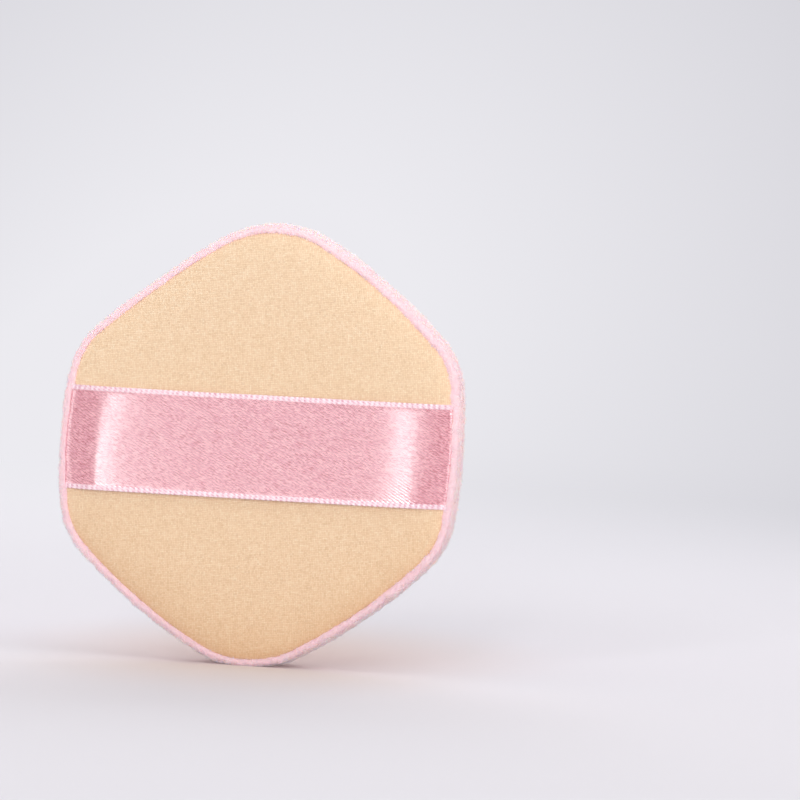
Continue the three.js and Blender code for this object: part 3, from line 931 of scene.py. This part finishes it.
def add_lamp(name, azimuth, elevation, distance, size, power, shadow=True):
    """A rectangular lamp that faces the puff. Angles are in degrees, lengths in metres, power in watts."""
    data = bpy.data.lights.new(name, "AREA")
    data.shape = "RECTANGLE"
    data.size, data.size_y = size
    data.energy = power
    data.use_shadow = shadow
    lamp = bpy.data.objects.new(name, data)
    back = towards(math.radians(azimuth), math.radians(elevation))
    lamp.location = Vector(MIDDLE.tolist()) + back * distance
    lamp.rotation_mode = "QUATERNION"
    lamp.rotation_quaternion = looking(-back)
    bpy.context.scene.collection.objects.link(lamp)


def studio_world():
    """A soft even light that shows itself to camera and mirrors as the far end of the backdrop."""
    world = bpy.data.worlds.new("studio")
    world.use_nodes = True
    tree = world.node_tree
    light = tree.nodes["Background"]
    light.inputs["Color"].default_value = colour(WORLD_COLOUR)
    light.inputs["Strength"].default_value = WORLD_STRENGTH
    shown = tree.nodes.new("ShaderNodeBackground")
    shown.inputs["Color"].default_value = colour(FAR_BACKDROP)
    rays = tree.nodes.new("ShaderNodeLightPath").outputs
    seen = rays["Is Camera Ray"]
    for name in ("Is Glossy Ray", "Is Transmission Ray"):
        either = tree.nodes.new("ShaderNodeMath")
        either.operation = "MAXIMUM"
        tree.links.new(seen, either.inputs[0])
        tree.links.new(rays[name], either.inputs[1])
        seen = either.outputs[0]
    both = tree.nodes.new("ShaderNodeMixShader")
    tree.links.new(seen, both.inputs[0])
    tree.links.new(light.outputs[0], both.inputs[1])
    tree.links.new(shown.outputs[0], both.inputs[2])
    tree.links.new(both.outputs[0], tree.nodes["World Output"].inputs["Surface"])
    return world


def light_studio():
    bpy.context.scene.world = studio_world()
    add_lamp("card", -5.5, 16, 1.5, (1.05, 0.8), 2.5)
    add_lamp("strip_left", -20.5, 20, 1.5, (0.13, 0.9), 3.5)
    add_lamp("strip_right", 1.5, 20, 1.5, (0.18, 0.9), 4.3)
    add_lamp("side_right", 60, 62, 1.2, (0.8, 0.8), 2.2)
    add_lamp("side_left", -65, 62, 1.2, (0.8, 0.8), 1.6)
    add_lamp("low_right", 80, 4, 1.2, (0.6, 0.6), 6.5, shadow=False)
    add_lamp("low_left", -82, 4, 1.2, (0.6, 0.6), 3.0, shadow=False)
    add_lamp("top", 5, 62, 1.5, (1.3, 1.0), 2.2)
    add_lamp("overhead", 175, 76, 1.2, (0.5, 0.5), 0.6)
    add_lamp("back", 180, 30, 1.0, (1.2, 0.7), 6.0)


def sweep_material():
    """Pale paper: lit near the puff with a painted warm shadow round the foot, and further off a glow that
    camera and mirrors see.
    """
    nodes = Nodes("sweep_paper")
    position = nodes.position()
    # Painted shadow: the paper darker and warmer close to the foot.
    moved = nodes.vector("MULTIPLY", nodes.vector("SUBTRACT", position, PAINTED_SHADOW_CENTRE), PAINTED_SHADOW_SHAPE)
    limits = {"Value": nodes.length(moved), "From Max": PAINTED_SHADOW_REACH, "To Min": 1.0, "To Max": 0.0}
    painted_shadow_share = nodes.add("MapRange", limits, interpolation_type="SMOOTHSTEP").outputs[0]
    paper = nodes.mix(painted_shadow_share, colour("d8d7dd"), colour("d2c5c0"))
    parts = nodes.split(position)
    ahead = nodes.math("MULTIPLY", nodes.math("MINIMUM", parts["Y"], 0.0), 0.4)
    flat = nodes.add("CombineXYZ", {"X": parts["X"], "Y": ahead, "Z": parts["Z"]}).outputs[0]
    far = nodes.math("MULTIPLY", nodes.length(nodes.vector("SUBTRACT", flat, GLOW_CENTRE)), GLOW_SCALE)
    glow = nodes.ramp(far, (0.2, colour("ecebf0")), (0.6, colour("dad9df")), (1.0, colour(FAR_BACKDROP)))
    limits = {"Value": nodes.length(position), "From Min": GLOW_START, "From Max": GLOW_END}
    share = nodes.add("MapRange", limits, interpolation_type="SMOOTHSTEP").outputs[0]
    rays = nodes.add("LightPath").outputs
    seen = nodes.math("ADD", rays["Is Camera Ray"], rays["Is Glossy Ray"])
    seen = nodes.math("MINIMUM", nodes.math("ADD", seen, rays["Is Transmission Ray"]), 1.0)
    both = nodes.add("MixShader")
    nodes.feed(both.inputs[0], nodes.math("MULTIPLY", share, seen))
    nodes.feed(both.inputs[1], nodes.add("BsdfDiffuse", {"Color": paper}).outputs[0])
    nodes.feed(both.inputs[2], nodes.add("Emission", {"Color": glow}).outputs[0])
    nodes.feed(nodes.output.inputs["Surface"], both.outputs[0])
    return nodes.material


def add_sweep():
    """A floor that runs up into a backdrop."""
    front, bend, wall, half_width, top = -1.6, 0.55, 0.5, 2.4, 1.8
    angles = np.radians(np.linspace(0, 90, 25))
    profile = [(front, 0.0)] + [(bend + wall * math.sin(a), wall - wall * math.cos(a)) for a in angles]
    profile.append((bend + wall, top))
    points = [(x, y, z) for y, z in profile for x in (-half_width, half_width)]
    faces = [(2 * i, 2 * i + 1, 2 * i + 3, 2 * i + 2) for i in range(len(profile) - 1)]
    mesh = bpy.data.meshes.new("sweep")
    mesh.from_pydata(points, [], faces)
    mesh.shade_smooth()
    mesh.materials.append(sweep_material())
    sweep = bpy.data.objects.new("sweep", mesh)
    bpy.context.scene.collection.objects.link(sweep)


# Pieces on their bodies


def build_plush():
    ground, fibre = plush_ground(), plush_fibre()
    cover, visible_rings = plush_cover(ground)
    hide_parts("plush_cover")
    rim_start = visible_rings - RIM_PILE_RINGS
    face_pile = pile("plush_pile_face", cover, 0, WALL_PILE_START, fibre, *FACE_PILE)
    wall_pile = pile("plush_pile_wall", cover, WALL_PILE_START, rim_start + 1, fibre, *WALL_PILE)
    rim_pile = pile("plush_pile_rim", cover, rim_start, visible_rings, fibre, *RIM_PILE)
    for piece in (cover, face_pile, wall_pile, rim_pile):
        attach(piece, "pad")


def build_panel():
    panel = backing_panel(cream_cotton())
    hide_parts("backing_cloth")
    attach(panel, "pad")


def build_filling():
    foam = foam_pad(open_cell_foam())
    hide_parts("foam_core")
    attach(foam, "pad")
    thread = seam_loop(twisted_thread())
    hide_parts("seam_thread")
    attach(thread, "pad")


def build_band():
    band, length = finger_band(pink_satin())
    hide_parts("finger_band")
    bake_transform(band)


build_plush()
build_filling()
build_panel()
build_band()
add_sweep()
light_studio()
add_camera()
bpy.context.scene.view_settings.view_transform = "Standard"
